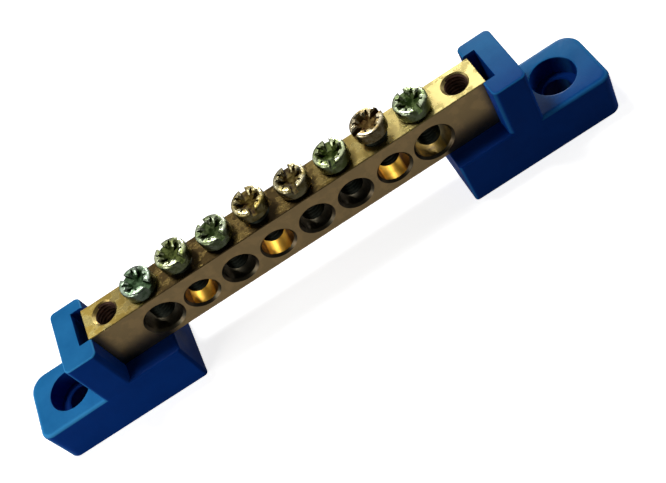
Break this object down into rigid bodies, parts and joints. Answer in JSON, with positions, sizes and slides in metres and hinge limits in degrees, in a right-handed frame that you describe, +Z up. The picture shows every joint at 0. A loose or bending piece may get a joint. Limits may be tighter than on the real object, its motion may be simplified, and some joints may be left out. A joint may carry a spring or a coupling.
{
  "type": "neutral terminal bar",
  "caption": "Brass wire terminal bar with a row of slotted clamp screws over cross holes, held at each end in a blue moulded foot with a fixing lug.",
  "frame": {"origin": "on the surface that the feet stand on, midway along the bar and across the feet", "axes": "+X along the row of wire holes, +Y from the wire side to the back, +Z up, out of the clamp screws' heads"},
  "size_m": [0.1044, 0.0124, 0.022],
  "materials": {
    "brass": "milled, dull, worn",
    "zinc_plated_steel": "zinc plated, satin",
    "blue_plastic": "moulded, satin"
  },
  "bodies": {
    "bar_and_feet": {"brass_bar": "brass", "left_foot": "blue_plastic", "right_foot": "blue_plastic", "left_fixing_screw": "zinc_plated_steel", "right_fixing_screw": "zinc_plated_steel"},
    "clamp_screw_1": {"clamp_screw_1": "zinc_plated_steel"},
    "clamp_screw_2": {"clamp_screw_2": "zinc_plated_steel"},
    "clamp_screw_3": {"clamp_screw_3": "zinc_plated_steel"},
    "clamp_screw_4": {"clamp_screw_4": "zinc_plated_steel"},
    "clamp_screw_5": {"clamp_screw_5": "zinc_plated_steel"},
    "clamp_screw_6": {"clamp_screw_6": "zinc_plated_steel"},
    "clamp_screw_7": {"clamp_screw_7": "zinc_plated_steel"},
    "clamp_screw_8": {"clamp_screw_8": "zinc_plated_steel"}
  },
  "joints": [
    {"name": "clamp_screw_1_travel", "type": "slide", "parent": "bar_and_feet", "child": "clamp_screw_1", "axis": [0, 0, 1], "range_m": [-0.00018, 0.0043]},
    {"name": "clamp_screw_2_travel", "type": "slide", "parent": "bar_and_feet", "child": "clamp_screw_2", "axis": [0, 0, 1], "range_m": [-0.00108, 0.0034]},
    {"name": "clamp_screw_3_travel", "type": "slide", "parent": "bar_and_feet", "child": "clamp_screw_3", "axis": [0, 0, 1], "range_m": [-0.00053, 0.00395]},
    {"name": "clamp_screw_4_travel", "type": "slide", "parent": "bar_and_feet", "child": "clamp_screw_4", "axis": [0, 0, 1], "range_m": [-0.00133, 0.00315]},
    {"name": "clamp_screw_5_travel", "type": "slide", "parent": "bar_and_feet", "child": "clamp_screw_5", "axis": [0, 0, 1], "range_m": [-0.00048, 0.004]},
    {"name": "clamp_screw_6_travel", "type": "slide", "parent": "bar_and_feet", "child": "clamp_screw_6", "axis": [0, 0, 1], "range_m": [-0.00043, 0.00405]},
    {"name": "clamp_screw_7_travel", "type": "slide", "parent": "bar_and_feet", "child": "clamp_screw_7", "axis": [0, 0, 1], "range_m": [-0.00148, 0.003]},
    {"name": "clamp_screw_8_travel", "type": "slide", "parent": "bar_and_feet", "child": "clamp_screw_8", "axis": [0, 0, 1], "range_m": [-0.00033, 0.00415]}
  ]
}
